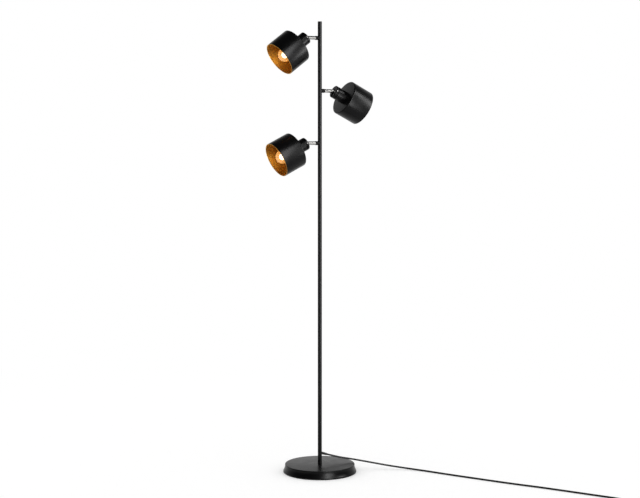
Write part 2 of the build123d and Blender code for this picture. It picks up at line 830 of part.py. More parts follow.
def coil_knot(angle):
    """Place and direction of the coil's centreline after a turn of this angle."""
    layer = 0 if angle < coil_turn else 1
    turned_in = angle if layer == 0 else 2 * coil_turn - angle
    radius = coil_outer_radius - coil_step * turned_in / 360
    rate = coil_step / (2 * pi) * (-1 if layer == 0 else 1)
    heading = radians(switch_heading - 90 + angle)
    outward = Vector(cos(heading), sin(heading), 0)
    onward = Vector(-sin(heading), cos(heading), 0)
    height = Vector(0, 0, cord_lie + layer * layer_height)
    return coil_centre + outward * radius + height, unit(onward * radius + outward * rate)


def biarc(start, start_direction, end, end_direction):
    """Two tangent arcs of equal reach that join two places and directions."""
    chord = end - start
    both = start_direction + end_direction
    spread = 2 * (1 - start_direction.dot(end_direction))
    along = chord.dot(both)
    if spread < parallel_limit:
        reach = chord.dot(chord) / (2 * along)
    else:
        reach = (sqrt(along**2 + spread * chord.dot(chord)) - along) / spread
    first_corner = start + start_direction * reach
    second_corner = end - end_direction * reach
    middle = (first_corner + second_corner) * 0.5
    through = unit(second_corner - first_corner)
    return [
        TangentArc(start, middle, tangent=start_direction),
        TangentArc(middle, end, tangent=through),
    ]


def least_self_gap(path, radius, count=1500, skip=4.0):
    """The least gap between stretches of a tube that lie further apart along it
    than some diameters."""
    points = [path.position_at(index / count) for index in range(count + 1)]
    apart = int(skip * 2 * radius / (path.length / count))
    least = min(
        (points[j] - points[i]).length
        for i in range(0, count + 1, 2)
        for j in range(i + apart, count + 1, 2)
    )
    return least - 2 * radius


def make_coil():
    straight = 2 * cord_radius
    inlet = switch_point(switch_length / 2 + switch_relief_length, switch_split_height)
    outlet = plug_entry()
    knots = [(inlet, cord_heading), (inlet + cord_heading * straight, cord_heading)]
    knots += [coil_knot(0)] + [coil_knot(angle) for angle in range(90, 2 * coil_turn, 180)]
    knots += [coil_knot(2 * coil_turn)]
    knots += [(outlet - cord_heading * straight, cord_heading), (outlet, cord_heading)]
    edges = [Line(knots[0][0], knots[1][0])]
    for (start, leaving), (end, arriving) in zip(knots[1:-2], knots[2:-1]):
        edges += biarc(start, leaving, end, arriving)
    edges += [Line(knots[-2][0], knots[-1][0])]
    path = Wire(edges)
    tube = swept_tube(path, cord_radius, cord_heading)
    check_volume("cord_coil", tube, path, cord_radius)
    print(f"cord_coil: least gap to itself {least_self_gap(path, cord_radius):.2f}")
    keep("cord_coil", tube)


def plug_entry():
    """Where the cord meets the plug's strain relief."""
    end, _ = coil_knot(2 * coil_turn)
    lie = Vector(end.X, end.Y, floor_gap + plug_thickness / 2)
    return lie + cord_heading * coil_lead_out


def make_plug():
    shoulder = plug_relief_length
    front = shoulder + plug_length
    relief = Pos(shoulder, 0, 0) * Rot(0, -90, 0) * make_relief(plug_relief_radius, 0, shoulder)
    outline = Polyline(
        (shoulder, -plug_back_width / 2),
        (front - plug_front_length, -plug_width / 2),
        (front, -plug_width / 2),
        (front, plug_width / 2),
        (front - plug_front_length, plug_width / 2),
        (shoulder, plug_back_width / 2),
        close=True,
    )
    body = Pos(0, 0, -plug_thickness / 2) * extrude(make_face(outline), plug_thickness)
    body = fillet(body.edges().filter_by(Axis.Z), plug_rounding)
    body = chamfer(body.faces().sort_by(Axis.Z)[-1].edges(), plug_edge)
    body = chamfer(body.faces().sort_by(Axis.Z)[0].edges(), plug_edge)
    pin = along_x(rod(plug_pin_radius, front - pin_root, front + pin_reach))
    pins = [Pos(0, side * pin_pitch / 2, 0) * pin for side in (-1, 1)]
    pins = [chamfer(pin.edges().group_by(Axis.X)[-1], pin_chamfer) for pin in pins]
    entry = plug_entry()
    place = Pos(entry.X, entry.Y, entry.Z) * Rot(0, 0, switch_heading)
    keep("plug_body", place * (relief + body - pins))
    keep("plug_pins", *[place * pin for pin in pins])


for step in (make_base, make_pole, make_arms):
    step()
for head in arm_heights:
    make_head(head)
for step in (make_outlet, make_inner_cable, make_power_cord, make_switch, make_coil, make_plug):
    step()

for node, shape in parts.items():
    export_step(shape, f"parts/{node}.step")
print(len(parts), "nodes")
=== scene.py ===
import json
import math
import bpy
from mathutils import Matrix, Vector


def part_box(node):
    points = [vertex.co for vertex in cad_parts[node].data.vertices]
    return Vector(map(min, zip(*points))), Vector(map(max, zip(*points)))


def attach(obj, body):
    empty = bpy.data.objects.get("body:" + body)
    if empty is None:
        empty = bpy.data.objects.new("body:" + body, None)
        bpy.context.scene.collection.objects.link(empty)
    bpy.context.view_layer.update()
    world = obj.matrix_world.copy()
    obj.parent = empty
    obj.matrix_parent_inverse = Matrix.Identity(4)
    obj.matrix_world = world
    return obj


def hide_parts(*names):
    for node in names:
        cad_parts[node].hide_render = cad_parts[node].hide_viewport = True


bl_info = {
    "name": "Tree Floor Lamp",
    "version": (1, 0, 0),
    "blender": (4, 5, 0),
    "location": "View3D > Sidebar > Lamp",
    "description": "Finishes a tree floor lamp around its frame: lacquer, plating, bulbs and lead",
    "category": "Add Mesh",
}

import bmesh
import bpy
from bpy.props import FloatProperty, FloatVectorProperty, PointerProperty
from mathutils import Matrix, Vector

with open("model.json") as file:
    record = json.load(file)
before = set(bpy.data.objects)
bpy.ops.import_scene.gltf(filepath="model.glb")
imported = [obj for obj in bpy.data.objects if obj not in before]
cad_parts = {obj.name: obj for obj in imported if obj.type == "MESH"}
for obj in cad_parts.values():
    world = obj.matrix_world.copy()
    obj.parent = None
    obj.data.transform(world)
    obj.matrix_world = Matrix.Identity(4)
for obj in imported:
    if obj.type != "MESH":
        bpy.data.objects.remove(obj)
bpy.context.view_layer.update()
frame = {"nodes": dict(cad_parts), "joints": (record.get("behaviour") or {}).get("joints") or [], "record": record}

HEADS = ("top", "right", "low")
JOINTS = {joint["name"]: joint for joint in frame["joints"]}
NODES = frame["nodes"]
MM = 0.001
TAU = 2 * math.pi
BASE_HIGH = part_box("base_cover")[1]
PAD_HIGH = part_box("base_pad")[1]
FULL_TURN_STEPS = 128
SMALL_TURN_STEPS = 64
ROUNDING_STEPS = 5
SHARP_ANGLE = math.radians(32)
MERGE_DISTANCE = 1e-6


# ---------------------------------------------------------------- what a user can change
class LampSizes(bpy.types.PropertyGroup):
    """Sizes of the pieces that are modelled here, in the frame's own units."""

    base_top_radius: FloatProperty(
        name="Base top radius",
        description="Radius of the base's flat top",
        default=119 * MM,
        unit="LENGTH",
    )
    base_wall: FloatProperty(
        name="Base wall",
        description="Thickness of the pressed steel cover",
        default=1.2 * MM,
        unit="LENGTH",
    )
    pin_offset: FloatProperty(
        name="Pin offset",
        description="Height of the tilt pin above a head's axis",
        default=3 * MM,
        unit="LENGTH",
    )
    neck_radius: FloatProperty(
        name="Neck radius",
        description="Radius of the neck behind a shade",
        default=21.5 * MM,
        unit="LENGTH",
    )
    shade_radius: FloatProperty(
        name="Shade radius",
        description="Outer radius of a shade",
        default=60 * MM,
        unit="LENGTH",
    )
    shade_length: FloatProperty(
        name="Shade length",
        description="Length of a shade from its back to its rim",
        default=80 * MM,
        unit="LENGTH",
    )
    shade_wall: FloatProperty(
        name="Shade wall",
        description="Sheet thickness of a shade",
        default=1.0 * MM,
        unit="LENGTH",
    )
    globe_radius: FloatProperty(
        name="Globe radius",
        description="Radius of a bulb's globe",
        default=22.5 * MM,
        unit="LENGTH",
    )
    lead_diameter: FloatProperty(
        name="Lead diameter",
        description="Outside diameter of the mains lead",
        default=6 * MM,
        unit="LENGTH",
    )


class LampColours(bpy.types.PropertyGroup):
    """Colours of the finishes, as linear values."""

    lacquer: FloatVectorProperty(
        name="Lacquer",
        description="Satin black lacquer of the base, pole and heads",
        subtype="COLOR",
        default=(0.0026, 0.0026, 0.0028),
    )
    gold: FloatVectorProperty(
        name="Gold lacquer",
        description="Gold lacquer inside the shades",
        subtype="COLOR",
        default=(0.64, 0.36, 0.055),
    )
    nickel: FloatVectorProperty(
        name="Nickel",
        description="Satin nickel plate of the arms",
        subtype="COLOR",
        default=(0.30, 0.295, 0.285),
    )
    plastic: FloatVectorProperty(
        name="Plastic",
        description="Moulded plastic of the switch, holders and outlet",
        subtype="COLOR",
        default=(0.006, 0.006, 0.006),
    )
    sheath: FloatVectorProperty(
        name="Sheath",
        description="Soft sheath of the lead and plug",
        subtype="COLOR",
        default=(0.003, 0.003, 0.003),
    )
    glow: FloatVectorProperty(
        name="Glow",
        description="Light of the bulbs",
        subtype="COLOR",
        default=(1.0, 0.86, 0.62),
    )


class LampLight(bpy.types.PropertyGroup):
    """Levels of the bulbs and of the studio."""

    bulb_strength: FloatProperty(
        name="Bulb strength",
        description="Radiance of a globe's core",
        default=7.0,
        min=0,
    )
    room_level: FloatProperty(
        name="Room level",
        description="Level of the soft light from all round",
        default=0.95,
        min=0,
    )
    key_power: FloatProperty(
        name="Key light",
        description="Power of the tall soft box on the right",
        default=80.0,
        min=0,
        unit="POWER",
    )


# ---------------------------------------------------------------- finishes
GLOBE_GLOW = 1.3
GLOBE_OPACITY = 0.7
HEAT_REACH = 0.75             # share of the globe's length where the glow is at its warmest
NOISE_MIDDLE = (0.3, 0.7)     # where most of a noise's values lie
TINT_MIDDLE = (0.35, 0.65)


def finish_material(name, colour, roughness, metallic=0.0):
    """A material with its Principled shader; colours and levels that don't vary are set here."""
    material = bpy.data.materials.new(name)
    material.use_nodes = True
    shader = material.node_tree.nodes["Principled BSDF"]
    shader.inputs["Base Color"].default_value = (*colour, 1.0)
    shader.inputs["Roughness"].default_value = roughness
    shader.inputs["Metallic"].default_value = metallic
    return material, shader


def grain(material, scale, stretch=(1, 1, 1), detail=4.0):
    """A noise on Object coordinates: scale is in grains for each metre."""
    nodes, links = material.node_tree.nodes, material.node_tree.links
    place = nodes.new("ShaderNodeTexCoord")
    mapping = nodes.new("ShaderNodeMapping")
    mapping.inputs["Scale"].default_value = stretch
    noise = nodes.new("ShaderNodeTexNoise")
    noise.inputs["Scale"].default_value = scale
    noise.inputs["Detail"].default_value = detail
    links.new(place.outputs["Object"], mapping.inputs["Vector"])
    links.new(mapping.outputs["Vector"], noise.inputs["Vector"])
    return noise.outputs["Fac"]


def spread(material, value, low, high):
    """Maps the middle of a noise to a range."""
    nodes, links = material.node_tree.nodes, material.node_tree.links
    ranged = nodes.new("ShaderNodeMapRange")
    ranged.inputs["From Min"].default_value = NOISE_MIDDLE[0]
    ranged.inputs["From Max"].default_value = NOISE_MIDDLE[1]
    ranged.inputs["To Min"].default_value = low
    ranged.inputs["To Max"].default_value = high
    links.new(value, ranged.inputs["Value"])
    return ranged.outputs["Result"]


def raise_surface(material, shader, value, depth, strength=1.0):
    """Bump from a noise, depth in metres."""
    nodes, links = material.node_tree.nodes, material.node_tree.links
    bump = nodes.new("ShaderNodeBump")
    bump.inputs["Distance"].default_value = depth
    bump.inputs["Strength"].default_value = strength
    links.new(value, bump.inputs["Height"])
    links.new(bump.outputs["Normal"], shader.inputs["Normal"])


def tint(material, shader, value, first, second):
    """Varies the base colour between two close colours."""
    nodes, links = material.node_tree.nodes, material.node_tree.links
    ramp = nodes.new("ShaderNodeValToRGB")
    ramp.color_ramp.elements[0].position = TINT_MIDDLE[0]
    ramp.color_ramp.elements[0].color = (*first, 1.0)
    ramp.color_ramp.elements[1].position = TINT_MIDDLE[1]
    ramp.color_ramp.elements[1].color = (*second, 1.0)
    links.new(value, ramp.inputs["Fac"])
    links.new(ramp.outputs["Color"], shader.inputs["Base Color"])


def scaled(colour, share):
    """A colour made darker or lighter by a share."""
    return tuple(channel * share for channel in colour)


def shared(name, maker):
    """A finish that several pieces share is made once."""
    return bpy.data.materials.get(name) or maker(name)


def satin_lacquer(name):
    """Satin black lacquer: fine orange peel, slight cloudiness in the gloss."""
    colour = tuple(bpy.context.scene.lamp_colours.lacquer)
    material, shader = finish_material(name, colour, 0.3)
    shader.inputs["Specular IOR Level"].default_value = 0.1
    links = material.node_tree.links
    cloud = grain(material, 35.0, detail=3.0)
    links.new(spread(material, cloud, 0.27, 0.33), shader.inputs["Roughness"])
    raise_surface(material, shader, grain(material, 1600.0, detail=2.0), 0.00001, 0.08)
    return material


def gold_lacquer(name):
    """Gold lacquer over spun metal: warm, half gloss, slightly cloudy."""
    colour = tuple(bpy.context.scene.lamp_colours.gold)
    material, shader = finish_material(name, colour, 0.42, metallic=0.9)
    links = material.node_tree.links
    cloud = grain(material, 45.0)
    tint(material, shader, cloud, scaled(colour, 0.97), colour)
    links.new(spread(material, cloud, 0.40, 0.44), shader.inputs["Roughness"])
    raise_surface(material, shader, grain(material, 1200.0, detail=2.0), 0.00001, 0.1)
    return material


def satin_nickel(name):
    """Satin nickel: a fine brush along the arm."""
    colour = tuple(bpy.context.scene.lamp_colours.nickel)
    material, shader = finish_material(name, colour, 0.24, metallic=1.0)
    links = material.node_tree.links
    brush = grain(material, 900.0, stretch=(0.06, 1, 1), detail=6.0)
    links.new(spread(material, brush, 0.20, 0.30), shader.inputs["Roughness"])
    raise_surface(material, shader, brush, 0.000004, 0.2)
    return material


def bright_plate(name):
    """Nickel plate of plug pins and tilt pins."""
    colour = tuple(bpy.context.scene.lamp_colours.nickel)
    material, shader = finish_material(name, colour, 0.22, metallic=1.0)
    links = material.node_tree.links
    links.new(spread(material, grain(material, 260.0), 0.17, 0.27), shader.inputs["Roughness"])
    return material


def moulded_plastic(name):
    """Black moulded plastic with a fine spark-eroded texture."""
    colour = tuple(bpy.context.scene.lamp_colours.plastic)
    material, shader = finish_material(name, colour, 0.5)
    shader.inputs["Specular IOR Level"].default_value = 0.3
    links = material.node_tree.links
    texture = grain(material, 2600.0, detail=3.0)
    links.new(spread(material, grain(material, 60.0), 0.46, 0.56), shader.inputs["Roughness"])
    raise_surface(material, shader, texture, 0.00006, 0.5)
    return material


def soft_sheath(name):
    """Smooth soft PVC of the lead and plug, with a faint waxy cloudiness."""
    colour = tuple(bpy.context.scene.lamp_colours.sheath)
    material, shader = finish_material(name, colour, 0.42)
    shader.inputs["Specular IOR Level"].default_value = 0.2
    links = material.node_tree.links
    cloud = grain(material, 90.0)
    tint(material, shader, cloud, colour, scaled(colour, 1.35))
    links.new(spread(material, cloud, 0.37, 0.48), shader.inputs["Roughness"])
    raise_surface(material, shader, grain(material, 900.0), 0.00003, 0.4)
    return material


def lit_opal(name):
    """Opal glass with the lamp lit behind it: hottest in front, warmer towards the neck."""
    material, shader = finish_material(name, (0.50, 0.30, 0.11), 0.18)
    shader.inputs["Emission Strength"].default_value = GLOBE_GLOW
    shader.inputs["Alpha"].default_value = GLOBE_OPACITY
    nodes, links = material.node_tree.nodes, material.node_tree.links
    heat = nodes.new("ShaderNodeAttribute")
    heat.attribute_name = "heat"
    ramp = nodes.new("ShaderNodeValToRGB")
    ramp.color_ramp.elements[0].color = (0.30, 0.13, 0.03, 1.0)
    ramp.color_ramp.elements[1].color = (1.0, 0.52, 0.17, 1.0)
    ramp.color_ramp.elements[1].position = HEAT_REACH
    links.new(heat.outputs["Fac"], ramp.inputs["Fac"])
    links.new(ramp.outputs["Color"], shader.inputs["Emission Color"])
    raise_surface(material, shader, grain(material, 220.0), 0.00001, 0.2)
    return material


def bulb_glow(name):
    """The hot core behind the opal: evenly bright, with a slight shimmer."""
    colours, light = bpy.context.scene.lamp_colours, bpy.context.scene.lamp_light
    glow = tuple(colours.glow)
    material, shader = finish_material(name, glow, 0.5)
    nodes, links = material.node_tree.nodes, material.node_tree.links
    shader.inputs["Emission Strength"].default_value = light.bulb_strength
    ramp = nodes.new("ShaderNodeValToRGB")
    ramp.color_ramp.elements[0].color = (*scaled(glow, 0.93), 1.0)
    ramp.color_ramp.elements[1].color = (*glow, 1.0)
    links.new(grain(material, 120.0), ramp.inputs["Fac"])
    links.new(ramp.outputs["Color"], shader.inputs["Emission Color"])
    return material


def rolled_cap(name):
    """Rolled aluminium of a bulb's screw cap."""
    material, shader = finish_material(name, (0.72, 0.71, 0.69), 0.3, metallic=1.0)
    links = material.node_tree.links
    scratch = grain(material, 500.0, stretch=(1, 1, 0.2), detail=5.0)
    links.new(spread(material, scratch, 0.22, 0.40), shader.inputs["Roughness"])
    raise_surface(material, shader, scratch, 0.00001, 0.3)
    return material


def stamped_brass(name):
    """Bare stamped brass of the contacts."""
    material, shader = finish_material(name, (0.72, 0.50, 0.20), 0.34, metallic=1.0)
    links = material.node_tree.links
    cloud = grain(material, 160.0)
    tint(material, shader, cloud, (0.60, 0.40, 0.15), (0.76, 0.54, 0.23))
    links.new(spread(material, cloud, 0.28, 0.44), shader.inputs["Roughness"])
    return material


def zinc_plate(name):
    """Dull zinc plate of the fasteners, bushes and couplers."""
    material, shader = finish_material(name, (0.52, 0.53, 0.55), 0.38, metallic=1.0)
    links = material.node_tree.links
    cloud = grain(material, 240.0, detail=6.0)
    tint(material, shader, cloud, (0.42, 0.43, 0.45), (0.58, 0.59, 0.60))
    links.new(spread(material, cloud, 0.30, 0.50), shader.inputs["Roughness"])
    raise_surface(material, shader, cloud, 0.00001, 0.3)
    return material


def sand_cast(name):
    """Raw cast iron: coarse sand texture, with a tone that varies at random towards rust."""
    material, shader = finish_material(name, (0.05, 0.048, 0.046), 0.72, metallic=0.6)
    links = material.node_tree.links
    tint(material, shader, grain(material, 40.0), (0.036, 0.035, 0.034), (0.075, 0.062, 0.052))
    sand = grain(material, 420.0, detail=6.0)
    links.new(spread(material, sand, 0.62, 0.85), shader.inputs["Roughness"])
    raise_surface(material, shader, sand, 0.0004, 0.7)
    return material


def cell_foam(name):
    """Closed-cell foam pad under the base."""
    material, shader = finish_material(name, (0.018, 0.018, 0.018), 0.85)
    nodes, links = material.node_tree.nodes, material.node_tree.links
    place = nodes.new("ShaderNodeTexCoord")
    cells = nodes.new("ShaderNodeTexVoronoi")
    cells.inputs["Scale"].default_value = 1500.0
    links.new(place.outputs["Object"], cells.inputs["Vector"])
    links.new(spread(material, grain(material, 80.0), 0.80, 0.92), shader.inputs["Roughness"])
    raise_surface(material, shader, cells.outputs["Distance"], 0.00015, 0.6)
    return material


def wire_sleeve(name):
    """Pale woven sleeve of the wires inside the pole."""
    material, shader = finish_material(name, (0.62, 0.60, 0.55), 0.6)
    links = material.node_tree.links
    braid = grain(material, 1400.0, stretch=(1, 1, 0.3))
    links.new(spread(material, braid, 0.5, 0.7), shader.inputs["Roughness"])
    raise_surface(material, shader, braid, 0.0001, 0.5)
    return material


FINISHES = {
    "black_lacquer": satin_lacquer,
    "nickel_plate": satin_nickel,
    "black_plastic": moulded_plastic,
    "cord_sheath": soft_sheath,
    "lamp_cap_metal": rolled_cap,
    "brass": stamped_brass,
    "zinc_steel": zinc_plate,
    "cast_iron": sand_cast,
    "foam_pad": cell_foam,
    "wire_sleeve": wire_sleeve,
}


def finish_of(slot):
    """The finish that stands for one of the record's material slots."""
    return shared(f"{slot}_finish", FINISHES[slot])


def finish_node(node, material=None):
    """Gives a CAD node its finish, from its slot in the record or the one named."""
    if material is None:
        rows = frame["record"]["subparts"]
        slot = next(row["material_slot"] for row in rows if row["node"] == node)
        material = finish_of(slot)
    mesh = NODES[node].data
    mesh.materials.clear()
    mesh.materials.append(material)


# ---------------------------------------------------------------- modelling tools
def round_corner(bm, vert, offset):
    """Rounds one corner of a flat outline; offset is how far back the rounding starts."""
    bmesh.ops.bevel(
        bm,
        geom=[vert],
        offset=offset,
        offset_type="OFFSET",
        segments=ROUNDING_STEPS,
        profile=0.5,
        affect="VERTICES",
        material=-1,
    )


def turned(corners, steps):
    """A mesh turned about Z from the corners of a closed outline: radius, height, rounding."""
    bm = bmesh.new()
    verts = [bm.verts.new((radius, 0, height)) for radius, height, _ in corners]
    bm.faces.new(verts)
    for vert, (_, _, rounding) in zip(verts, corners):
        if rounding:
            round_corner(bm, vert, rounding)
    bmesh.ops.delete(bm, geom=bm.faces[:], context="FACES_ONLY")
    on_axis = [
        edge
        for edge in bm.edges
        if all(abs(vert.co.x) < MERGE_DISTANCE for vert in edge.verts)
    ]
    bmesh.ops.delete(bm, geom=on_axis, context="EDGES")
    bmesh.ops.spin(
        bm,
        geom=bm.verts[:] + bm.edges[:],
        cent=(0, 0, 0),
        axis=(0, 0, 1),
        angle=TAU,
        steps=steps,
        use_merge=True,
    )
    bmesh.ops.remove_doubles(bm, verts=bm.verts, dist=MERGE_DISTANCE)
    bmesh.ops.recalc_face_normals(bm, faces=bm.faces)
    return bm


def make_piece(name, bm, body, materials, place=None, replaced=()):
    """Turns a bmesh into a piece that rides on a CAD body, with its place in its mesh."""
    if place is not None:
        bmesh.ops.transform(bm, matrix=place, verts=bm.verts)
    mesh = bpy.data.meshes.new(name)
    bm.to_mesh(mesh)
    bm.free()
    mesh.shade_smooth()
    mesh.set_sharp_from_angle(angle=SHARP_ANGLE)
    for material in materials:
        mesh.materials.append(material)
    piece = bpy.data.objects.new(name, mesh)
    bpy.context.scene.collection.objects.link(piece)
    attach(piece, body)
    if replaced:
        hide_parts(*replaced)
    return piece


# ---------------------------------------------------------------- base
PAD_TOP = PAD_HIGH.z
BOLT_HOLE_RADIUS = 4.05 * MM
BASE_EDGE = 2.0 * MM
FLARE_HEIGHT = 14.2 * MM      # corner where the side starts to flare
LIP_HEIGHT = 5.15 * MM        # corner where the flare turns down again
FLARE_ROUNDING = 10.1 * MM
LIP_ROUNDING = 0.75 * MM


class LAMP_OT_base(bpy.types.Operator):
    """Makes the pressed base cover and finishes the weight, pad, washer and bolt"""

    bl_idname = "lamp.base"
    bl_label = "Base"

    def execute(self, context):
        sizes = context.scene.lamp_sizes
        side, foot, wall = sizes.base_top_radius, BASE_HIGH.x, sizes.base_wall
        top = BASE_HIGH.z
        corners = [
            (BOLT_HOLE_RADIUS, top, 0),
            (side, top, BASE_EDGE),
            (side, FLARE_HEIGHT, FLARE_ROUNDING),
            (foot, LIP_HEIGHT, LIP_ROUNDING),
            (foot, PAD_TOP, 0),
            (foot - wall, PAD_TOP, 0),
            (foot - wall, LIP_HEIGHT - wall / 2, LIP_ROUNDING),
            (side - wall, FLARE_HEIGHT - wall / 2, FLARE_ROUNDING),
            (side - wall, top - wall, BASE_EDGE - wall),
            (BOLT_HOLE_RADIUS, top - wall, 0),
        ]
        cover = turned(corners, 2 * FULL_TURN_STEPS)
        lacquer = finish_of("black_lacquer")
        make_piece("base_shell", cover, "stand", [lacquer], None, ["base_cover"])
        for node in ("base_weight", "base_pad", "base_washer", "base_bolt"):
            finish_node(node)
        return {"FINISHED"}


# ---------------------------------------------------------------- pole and arms
class LAMP_OT_pole(bpy.types.Operator):
    """Finishes the pole's tubes, its cap and what joins them inside"""

    bl_idname = "lamp.pole"
    bl_label = "Pole"

    def execute(self, context):
        for node in (
            "pole_foot_bush",
            "pole_lower",
            "pole_middle",
            "pole_upper",
            "pole_couplers",
            "pole_cap",
            "inner_cable",
        ):
            finish_node(node)
        return {"FINISHED"}


class LAMP_OT_arms(bpy.types.Operator):
    """Finishes the arms, their collars, hollow screws and stop screws"""

    bl_idname = "lamp.arms"
    bl_label = "Arms"

    def execute(self, context):
        for node in ("arm_inserts", "arm_nipples", "collar_screws"):
            finish_node(node)
        for key in HEADS:
            finish_node(f"arm_collar_{key}")
            finish_node(f"arm_{key}")
        return {"FINISHED"}


# ---------------------------------------------------------------- heads
CAP_BEHIND_PIN = 4 * MM
CAP_LENGTH = 8 * MM
GROOVE_LENGTH = 2.5 * MM
LAND_LENGTH = 1.5 * MM
NECK_LENGTH = 44 * MM
SLEEVE_WALL = 1.2 * MM
SLEEVE_EDGE = 0.35 * MM
SLEEVE_START = -CAP_BEHIND_PIN + CAP_LENGTH + GROOVE_LENGTH + LAND_LENGTH
SHADE_BACK = -CAP_BEHIND_PIN + NECK_LENGTH
SHADE_EDGE = 3 * MM
SHADE_HOLE = 18.05 * MM
HEM_WIDTH = 2.0 * MM          # the rim is turned inwards by this much
HEM_LENGTH = 2.4 * MM
HEM_OUTER_ROUNDING = HEM_WIDTH * 0.45
HEM_INNER_ROUNDING = HEM_WIDTH * 0.3
GOLD_TURN = 0.3               # gold lacquer covers what faces inwards or to the front
GLOBE_FROM_BACK = 55 * MM
CAP_RADIUS = 13.1 * MM
CAP_WALL = 0.7 * MM
CAP_START = 3.0 * MM          # from the shade's back to the foot of the screw cap
CAP_HEIGHT = 24 * MM
CAP_TAPER = 2.5 * MM          # the cap's foot is narrower than its shell by this much
CAP_COLLAR = 1.0 * MM         # plain band above the thread
CAP_COLLAR_ROUNDING = 0.3 * MM
CAP_EDGE = 0.2 * MM
THREAD_START = 1.5 * MM       # above the cap's foot
THREAD_PITCH = 3.6 * MM
THREAD_DEPTH = 0.9 * MM
THREAD_ROUNDING = THREAD_PITCH * 0.2
TIP_RADIUS = 4.5 * MM
TIP_START = 0.5 * MM
TIP_ROUNDING = 0.6 * MM
GLASS_SEAT = 4 * MM           # the glass reaches this far into the cap
GLASS_FLARE = 0.22            # the neck widens by this share where it meets the globe
GLASS_NECK_STEPS = 6
CORE_SHARE = 0.48             # the bulb's hot core as a share of its globe
CORE_STEPS = 32
CAP_SEAT = SHADE_BACK + CAP_START + CAP_HEIGHT
CAP_BORE = CAP_RADIUS - CAP_WALL


def head_place(key):
    """The frame of one head: Z along its axis to the front, X away from its underside."""
    joint = JOINTS[f"tilt_{key}"]
    side = joint["axis"][1]
    tilt = math.radians(-joint["range_deg"][0])
    forward = Vector((side * math.cos(tilt), 0, -math.sin(tilt)))
    upward = Vector((side * math.sin(tilt), 0, math.cos(tilt)))
    place = Matrix((upward, forward.cross(upward), forward)).transposed().to_4x4()
    offset = bpy.context.scene.lamp_sizes.pin_offset
    place.translation = Vector(joint["pos_m"]) - upward * offset
    return place


def make_sleeve(key, place):
    """The neck's tube between the swivel cap and the shade."""
    radius = bpy.context.scene.lamp_sizes.neck_radius
    corners = [
        (radius, SLEEVE_START, SLEEVE_EDGE),
        (radius, SHADE_BACK, 0),
        (radius - SLEEVE_WALL, SHADE_BACK, 0),
        (radius - SLEEVE_WALL, SLEEVE_START, 0),
    ]
    make_piece(
        f"neck_{key}",
        turned(corners, SMALL_TURN_STEPS),
        f"head_{key}",
        [finish_of("black_lacquer")],
        place,
        [f"neck_sleeve_{key}"],
    )


def make_shade(key, place):
    """The spun drum with a rounded back edge and a hem turned in at its rim."""
    sizes = bpy.context.scene.lamp_sizes
    outer, wall = sizes.shade_radius, sizes.shade_wall
    front = SHADE_BACK + sizes.shade_length
    corners = [
        (SHADE_HOLE, SHADE_BACK, 0),
        (outer, SHADE_BACK, SHADE_EDGE),
        (outer, front, HEM_OUTER_ROUNDING),
        (outer - HEM_WIDTH, front, HEM_OUTER_ROUNDING),
        (outer - HEM_WIDTH, front - HEM_LENGTH, HEM_INNER_ROUNDING),
        (outer - wall, front - HEM_LENGTH - wall, HEM_INNER_ROUNDING),
        (outer - wall, SHADE_BACK + wall, SHADE_EDGE - wall),
        (SHADE_HOLE, SHADE_BACK + wall, 0),
    ]
    bm = turned(corners, FULL_TURN_STEPS)
    for face in bm.faces:
        middle, normal = face.calc_center_median(), face.normal
        inward = -(normal.x * middle.x + normal.y * middle.y) / math.hypot(middle.x, middle.y)
        face.material_index = 1 if inward + normal.z > GOLD_TURN else 0
    make_piece(
        f"shade_shell_{key}",
        bm,
        f"head_{key}",
        [finish_of("black_lacquer"), shared("gold_lacquer", gold_lacquer)],
        place,
        [f"shade_{key}"],
    )


def make_bulb_glass(key, place):
    """The mini globe's opal glass, drawn in to a neck that sits in the cap."""
    radius = bpy.context.scene.lamp_sizes.globe_radius
    centre = SHADE_BACK + GLOBE_FROM_BACK
    seat, neck = CAP_SEAT, CAP_BORE
    bm = bmesh.new()
    bmesh.ops.create_uvsphere(
        bm,
        u_segments=SMALL_TURN_STEPS,
        v_segments=SMALL_TURN_STEPS // 2,
        radius=radius,
    )
    bmesh.ops.translate(bm, vec=(0, 0, centre), verts=bm.verts)
    low_limit = centre - math.sqrt(radius**2 - (neck * (1 + GLASS_FLARE)) ** 2)
    bmesh.ops.bisect_plane(
        bm,
        geom=bm.verts[:] + bm.edges[:] + bm.faces[:],
        plane_co=(0, 0, low_limit),
        plane_no=(0, 0, -1),
        clear_outer=True,
    )
    rim = [edge for edge in bm.edges if edge.is_boundary]
    for step in range(1, GLASS_NECK_STEPS + 1):
        share = step / GLASS_NECK_STEPS
        extruded = bmesh.ops.extrude_edge_only(bm, edges=rim)["geom"]
        verts = [item for item in extruded if isinstance(item, bmesh.types.BMVert)]
        rim = [item for item in extruded if isinstance(item, bmesh.types.BMEdge)]
        ring_radius = neck * (1 + GLASS_FLARE * (1 - share) ** 2)
        height = low_limit + (seat - GLASS_SEAT - low_limit) * share
        for vert in verts:
            reach = ring_radius / math.hypot(vert.co.x, vert.co.y)
            vert.co = (vert.co.x * reach, vert.co.y * reach, height)
    bmesh.ops.holes_fill(bm, edges=rim, sides=0)
    bmesh.ops.recalc_face_normals(bm, faces=bm.faces)
    heat = bm.verts.layers.float.new("heat")
    for vert in bm.verts:
        vert[heat] = (vert.co.z - seat) / (centre + radius - seat)
    make_piece(
        f"bulb_glass_{key}",
        bm,
        f"head_{key}",
        [shared("lit_opal", lit_opal)],
        place,
        [f"bulb_globe_{key}"],
    )


